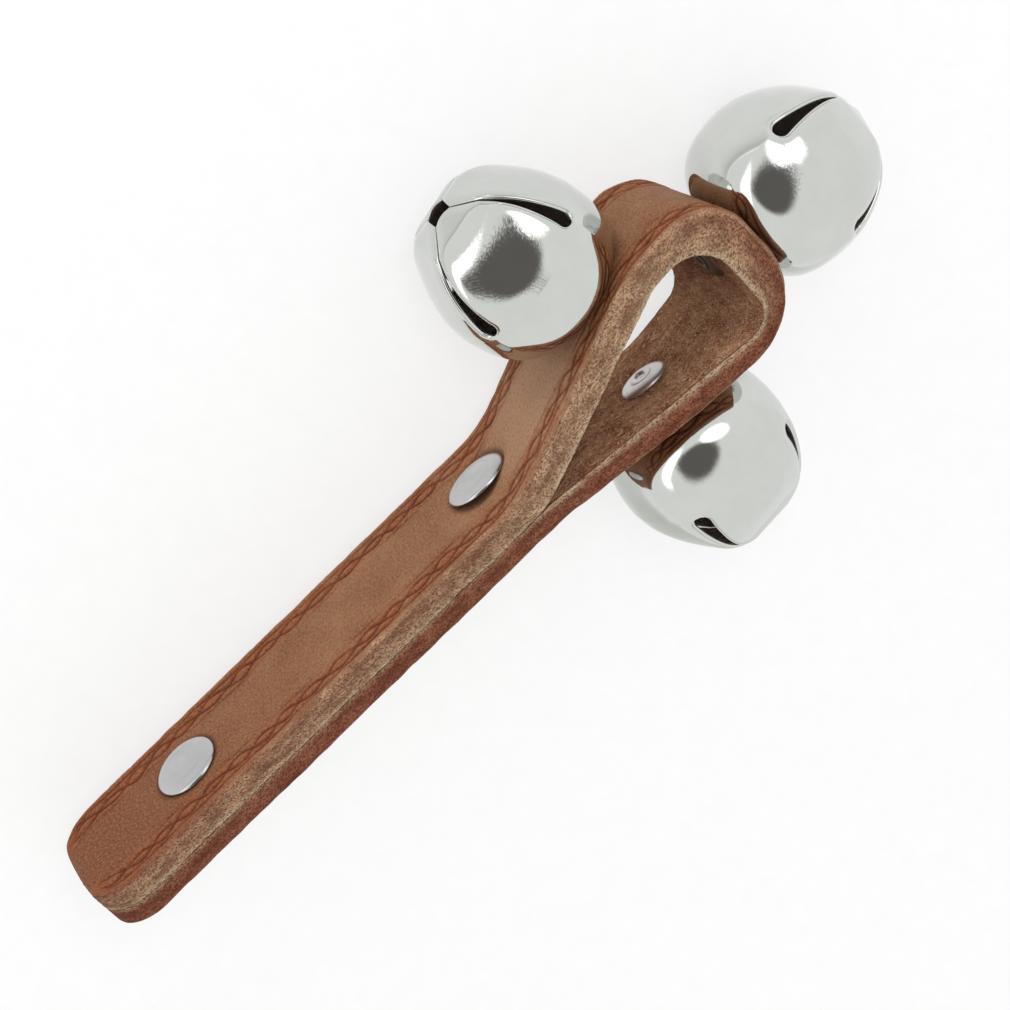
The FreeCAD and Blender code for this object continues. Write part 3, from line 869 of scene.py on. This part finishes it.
def thicken(sheet, thickness, rim_steps=6):
    """Both faces of a sheet and a full round rim along its open edges. The inner face gets the
    second material."""
    shape = bmesh.new()
    outer = {}
    inner = {}
    for vertex in sheet.verts:
        offset = vertex.normal * thickness / 2
        outer[vertex] = shape.verts.new(vertex.co + offset)
        inner[vertex] = shape.verts.new(vertex.co - offset)
    for face in sheet.faces:
        shape.faces.new([outer[v] for v in face.verts])
        lining = shape.faces.new([inner[v] for v in reversed(face.verts)])
        lining.material_index = 1
    rims = {}
    edges = [edge for edge in sheet.edges if edge.is_boundary]
    for vertex in {v for edge in edges for v in edge.verts}:
        away = Vector()
        for edge in vertex.link_edges:
            if edge.is_boundary:
                face = edge.link_faces[0]
                side = (edge.verts[1].co - edge.verts[0].co).cross(face.normal).normalized()
                if side.dot(face.calc_center_median() - vertex.co) > 0:
                    side = -side
                away += side
        away -= vertex.normal * away.dot(vertex.normal)
        away.normalize()
        ring = [outer[vertex]]
        for step in range(1, rim_steps):
            angle = math.pi * step / rim_steps
            outwards = vertex.normal * math.cos(angle) + away * math.sin(angle)
            ring.append(shape.verts.new(vertex.co + outwards * thickness / 2))
        ring.append(inner[vertex])
        rims[vertex] = ring
    for edge in edges:
        first, second = (rims[v] for v in edge.verts)
        for step in range(rim_steps):
            rim = shape.faces.new((first[step], first[step + 1], second[step + 1], second[step]))
            rim.material_index = int(step >= rim_steps // 2 + 1)
    bmesh.ops.recalc_face_normals(shape, faces=shape.faces)
    return shape


def make_bell(bell, shell_mesh, outside, inside):
    place = bell_place(bell)
    mesh = shell_mesh.copy()
    mesh.transform(place)
    mesh.materials.append(outside)
    mesh.materials.append(inside)
    shell = new_object(f"{bell}_petals", mesh)
    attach(shell, "holder")
    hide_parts(f"{bell}_shell")


def bell_shell_mesh():
    sheet = petal_sheet()
    shape = thicken(sheet, WALL)
    shape.transform(Matrix.Scale(MM, 4))
    mesh = bpy.data.meshes.new("bell_petals")
    shape.to_mesh(mesh)
    shape.free()
    sheet.free()
    smooth(mesh)
    return mesh


# ---------------------------------------------------------------- rivets and washers

GRIP = {"front_bell": 4.8, "tip_bell": 5.4, "back_bell": 5.1}   # leather under each bell
WASHER_HEIGHT = 1.1
UPPER_CAP_LEAN = math.radians(10.5)
UPPER_CAP_SHIFT = Vector((1.2, 0.1, -1.0)) * MM
WASHER_LEAN = math.radians(8.0)

# Profiles as (distance from the axis, height), from the axis back to the axis.
CAP_DOME = ((0.0, 1.26), (2.6, 1.25), (3.5, 1.22), (3.8, 1.13), (4.1, 1.17), (4.7, 1.10),
            (5.5, 0.90), (6.05, 0.58), (CAP_RADIUS, 0.22), (6.18, 0.04))
CAP_REST = ((5.9, 0.0), (1.5, 0.0), (1.5, -8.3), (1.2, -8.4), (0.0, -8.4))
SOCKET_REST = ((5.9, 0.0), (2.1, 0.0), (2.1, -7.9), (1.6, -7.9), (1.6, -0.2), (0.0, -0.2))
HEAD = ((0.0, 2.45), (1.6, 2.40), (3.0, 2.05), (3.7, 1.65), (4.0, 1.30))
ROLL = ((0.0, -0.15), (0.7, -0.12), (0.95, 0.04), (1.2, 0.20), (1.6, 0.27), (2.0, 0.20),
        (2.25, 0.04), (2.2, -0.12))
WASHER_TOP = ((1.75, 0.86), (2.2, 1.04), (2.9, 1.02), (3.8, 0.84), (4.4, 0.55), (4.7, 0.15))


def rounded(points):
    return [tuple(point) for point in spline_through(points, 6)]


def facing(axis, origin):
    """A place whose Z looks along the axis."""
    place = axis.to_track_quat("Z", "Y").to_matrix().to_4x4()
    place.translation = origin
    return place


def fasten(piece, metal, node):
    piece.data.materials.append(metal)
    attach(piece, "holder")
    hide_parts(node)


def handle_rivet_place(node):
    """The place of a rivet half. The upper cap was set a little askew, its near side high."""
    low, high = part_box(node)
    front = node.endswith("cap")
    face = LAYER if front else -LAYER
    middle = Vector(((low.x + high.x) / 2, face * MM, (low.z + high.z) / 2))
    if node != "upper_rivet_cap":
        return facing(Vector((0, 1 if front else -1, 0)), middle)
    axis = Vector((0, math.cos(UPPER_CAP_LEAN), -math.sin(UPPER_CAP_LEAN)))
    return facing(axis, middle + UPPER_CAP_SHIFT)


def make_handle_rivets(metal):
    for level in ("lower", "upper"):
        for half, rest in (("cap", CAP_REST), ("socket", SOCKET_REST)):
            node = f"{level}_rivet_{half}"
            disc = lathe(f"{level}_{half}_disc", rounded(CAP_DOME) + list(rest),
                         handle_rivet_place(node), 96)
            fasten(disc, metal, node)


def lean_near(place):
    """A small turn about the handle's length that lifts the near side, in the place's own frame."""
    own = place.to_3x3().inverted()
    return (own @ Matrix.Rotation(-WASHER_LEAN, 3, "X") @ place.to_3x3()).to_4x4()


def make_bell_rivet(bell, metal):
    place = bell_place(bell)
    seat = place @ Matrix.Translation((0, 0, -BASE_HEIGHT * MM))
    inward = seat @ Matrix.Rotation(math.pi, 4, "X")
    end = GRIP[bell] + WASHER_HEIGHT
    head = rounded(HEAD) + [(3.9, 1.22), (1.6, 1.20), (1.6, -end + 0.2), (2.2, -end + 0.12)]
    roll = [(radius, -height - end) for radius, height in reversed(rounded(ROLL))]
    rivet = lathe(f"{bell}_tube_rivet", head + roll, seat)
    fasten(rivet, metal, f"{bell}_rivet")
    top = [(radius, height + GRIP[bell]) for radius, height in rounded(WASHER_TOP)]
    under = [(4.5, GRIP[bell]), (1.75, GRIP[bell]), top[0]]
    washer = lathe(f"{bell}_domed_washer", top + under,
                   inward @ Matrix.Translation((0, 0, GRIP[bell] * MM)) @ lean_near(inward)
                   @ Matrix.Translation((0, 0, -GRIP[bell] * MM)))
    fasten(washer, metal, f"{bell}_washer")


def strap_presses():
    """Where flanges are pressed into the leather: place, radius, level, slope round it, side."""
    presses = []
    for level in ("lower", "upper"):
        for half in ("cap", "socket"):
            place = handle_rivet_place(f"{level}_rivet_{half}")
            presses.append((place, CAP_RADIUS + 0.1, -0.02, 0.8, 1))
    for bell in BELLS:
        seat = bell_place(bell) @ Matrix.Translation((0, 0, -BASE_HEIGHT * MM))
        presses.append((seat, 4.75, -GRIP[bell] + 0.02, 0.8, -1))
    return presses


# ---------------------------------------------------------------- camera, light and floor

# The photograph's view: what is right and up in the picture, its middle and its distance.
VIEW_RIGHT = Vector((0.7169, -0.6002, 0.3548))
VIEW_UP = Vector((0.6966, 0.5950, -0.4010))
VIEW_AIM = Vector((97.63, -3.30, -1.32)) * MM
VIEW_DISTANCE = 0.852
FOCAL_LENGTH = 173.1        # in millimetres, for a 36 mm sensor


def view_direction(right_angle, up_angle):
    """From the object towards the camera, turned so many degrees to the right and up."""
    back = VIEW_RIGHT.cross(VIEW_UP).normalized()
    turn = (Matrix.Rotation(math.radians(right_angle), 3, VIEW_UP)
            @ Matrix.Rotation(math.radians(-up_angle), 3, VIEW_RIGHT))
    return turn @ back


def look_back(direction, distance):
    """A place so far from the object that faces it."""
    right = VIEW_UP.cross(direction).normalized()
    place = Matrix((right, direction.cross(right), direction)).transposed().to_4x4()
    place.translation = VIEW_AIM + direction * distance
    return place


def add_camera():
    data = bpy.data.cameras.new("camera")
    data.lens = FOCAL_LENGTH
    data.sensor_width = 36.0
    data.clip_start = 0.05
    camera = bpy.data.objects.new("camera", data)
    bpy.context.scene.collection.objects.link(camera)
    back = VIEW_RIGHT.cross(VIEW_UP).normalized()
    right = VIEW_RIGHT.normalized()
    camera.matrix_world = Matrix((right, back.cross(right), back)).transposed().to_4x4()
    camera.matrix_world.translation = VIEW_AIM + back * VIEW_DISTANCE
    bpy.context.scene.camera = camera


def speckled_light(name, brightness, width, height, fray):
    """An oval of light or dark cloth. Its edge frays into dots, or is soft where fray is 0."""
    material, tree = new_material(name)
    place = own_coordinates(tree, (2 / width, 2 / height, 1))
    from_middle = add(tree, "VectorMath", {"operation": "LENGTH"})
    tree.links.new(place, from_middle.inputs[0])
    dots = add(tree, "TexNoise", Vector=own_coordinates(tree), Scale=52.0, Detail=2.0,
               Roughness=0.7)
    uneven = calculate(tree, "MULTIPLY", calculate(tree, "SUBTRACT", dots.outputs[0], 0.5), fray)
    edge = calculate(tree, "ADD", from_middle.outputs["Value"], uneven)
    reach = 0.74
    softness = 0.35 - 0.27 * fray
    clear_here = steps(tree, edge, (reach - softness, 0.0), (reach + softness, 1.0))
    cloth = add(tree, "Emission", Color=(*brightness, 1.0), Strength=1.0)
    clear = add(tree, "BsdfTransparent")
    both = add(tree, "MixShader", Fac=clear_here)
    plug(tree, both.inputs[1], cloth.outputs[0])
    plug(tree, both.inputs[2], clear.outputs[0])
    add(tree, "OutputMaterial", Surface=both.outputs[0])
    return material


# What the bells mirror: degrees to the right of the camera and above it, lean, distance, width and
# height in metres, and brightness.
CARDS = {
    "tent_opening": (-2, -11, 0, 0.93, 1.45, 1.30, (0.150, 0.140, 0.136)),
    "upper_softbox": (14, 25, 0, 0.96, 1.00, 0.58, (2.2, 2.2, 2.2)),
    "left_softbox": (-44, -15, -20, 0.98, 0.34, 1.50, (2.2, 2.2, 2.2)),
}

# Grey places on the floor that the bells mirror, one of them the object's painted shadow beside the
# handle:
# x and y of the middle, width and height in metres, and brightness.
FLOOR_CARDS = {
    "grey_floor_card": (0.11, 0.27, 0.60, 0.46, (0.70, 0.71, 0.69)),
    # Painted shadow: the floor beside the handle, darkened where the object shades it, seen only in
    # the bells.
    "handle_shadow_on_floor": (0.08, -0.06, 0.19, 0.13, (0.72, 0.73, 0.70)),
}


def add_card(name, place, width, height, brightness, fray=1.0):
    """A card that only shows in reflections."""
    mesh = bpy.data.meshes.new(name)
    corners = [(x * width / 2, y * height / 2, 0) for x, y in
               ((-1, -1), (1, -1), (1, 1), (-1, 1))]
    mesh.from_pydata(corners, [], [(0, 1, 2, 3)])
    mesh.materials.append(speckled_light(name, brightness, width, height, fray))
    card = new_object(name, mesh)
    card.matrix_world = place
    card.visible_camera = False
    card.visible_diffuse = False
    card.visible_shadow = False
    card.visible_transmission = False


def add_cards():
    for name, (right_angle, up_angle, lean, distance, width, height, brightness) in CARDS.items():
        place = look_back(view_direction(right_angle, up_angle), distance)
        add_card(name, place @ Matrix.Rotation(math.radians(lean), 4, "Z"),
                 width, height, brightness)
    for name, (x, y, width, height, brightness) in FLOOR_CARDS.items():
        on_floor = Matrix.Translation((x, y, cad_low.z + MM))
        add_card(name, on_floor, width, height, brightness, fray=0.0)


def add_lamp(name, right_angle, up_angle, distance, size, power):
    data = bpy.data.lights.new(name, "AREA")
    data.shape = "DISK"
    data.size = size
    data.energy = power
    lamp = bpy.data.objects.new(name, data)
    bpy.context.scene.collection.objects.link(lamp)
    lamp.matrix_world = look_back(view_direction(right_angle, up_angle), distance)
    lamp.visible_glossy = False


def add_studio():
    world = bpy.data.worlds.new("tent")
    bpy.context.scene.world = world
    world.use_nodes = True
    background = world.node_tree.nodes["Background"]
    background.inputs["Color"].default_value = (0.985, 1.0, 0.985, 1.0)
    background.inputs["Strength"].default_value = 0.98
    add_lamp("key", -35, 38, 1.1, 0.5, 3.4)
    add_lamp("fill", 6, 4, 1.1, 0.35, 2.4)
    mesh = bpy.data.meshes.new("floor")
    corners = [(x, y, cad_low.z) for x, y in ((-4, -4), (4, -4), (4, 4), (-4, 4))]
    mesh.from_pydata(corners, [], [(0, 1, 2, 3)])
    material, tree = new_material("floor_card")
    fine = add(tree, "TexNoise", Vector=own_coordinates(tree), Scale=300.0, Detail=3.0)
    shade = mix(tree, fine.outputs[0], (0.26, 0.26, 0.26), (0.28, 0.28, 0.28))
    lit = mix(tree, fine.outputs[0], (0.97, 0.97, 0.97), (1.0, 1.0, 1.0))
    finish_material(tree, Base_Color=shade, Roughness=0.9, Specular_IOR_Level=0.05,
                    Emission_Color=lit, Emission_Strength=0.69)
    mesh.materials.append(material)
    floor = new_object("floor", mesh)
    bpy.context.scene.view_settings.view_transform = "Standard"


# ---------------------------------------------------------------- assembly

add_camera()
add_studio()
add_cards()

bell_nickel = plated_metal("bell_nickel_plate", (0.60, 0.610, 0.588), (0.64, 0.650, 0.628),
                           (0.02, 0.05), 0.12, 0.04)
bell_inside = plated_metal("bell_dull_inside", (0.40, 0.34, 0.32), (0.52, 0.46, 0.43),
                           (0.55, 0.8), 0.10, 0.30)
rivet_nickel = plated_metal("rivet_nickel_plate", (0.46, 0.465, 0.465), (0.55, 0.555, 0.555),
                            (0.17, 0.27), 0.04, 0.08)
worn_nickel = plated_metal("worn_nickel_plate", (0.58, 0.57, 0.56), (0.86, 0.855, 0.85),
                           (0.34, 0.52), 0.15, 0.60)
# Painted shade: the tip bell's washer and rivet end are coloured dark, as they sit in the shadow
# inside the loop's turn.
shadow_dark_nickel = plated_metal("shadow_dark_nickel_plate", (0.10, 0.066, 0.048),
                                (0.20, 0.145, 0.110), (0.50, 0.70), 0.20, 0.60)
pellet_steel = plated_metal("pellet_steel_ball", (0.32, 0.32, 0.33), (0.47, 0.47, 0.48),
                            (0.28, 0.48), 0.10, 0.35)

make_strap(strap_presses(), [bell_place(bell) for bell in BELLS])
make_handle_rivets(rivet_nickel)
shell_mesh = bell_shell_mesh()
for bell in BELLS:
    make_bell(bell, shell_mesh, bell_nickel, bell_inside)
    # Painted shade on the tip bell's rivet and washer, which lie in the shadow of the turn.
    make_bell_rivet(bell, shadow_dark_nickel if bell == "tip_bell" else worn_nickel)
    for slot in frame["nodes"][f"{bell}_pellet"].material_slots:
        slot.material = pellet_steel
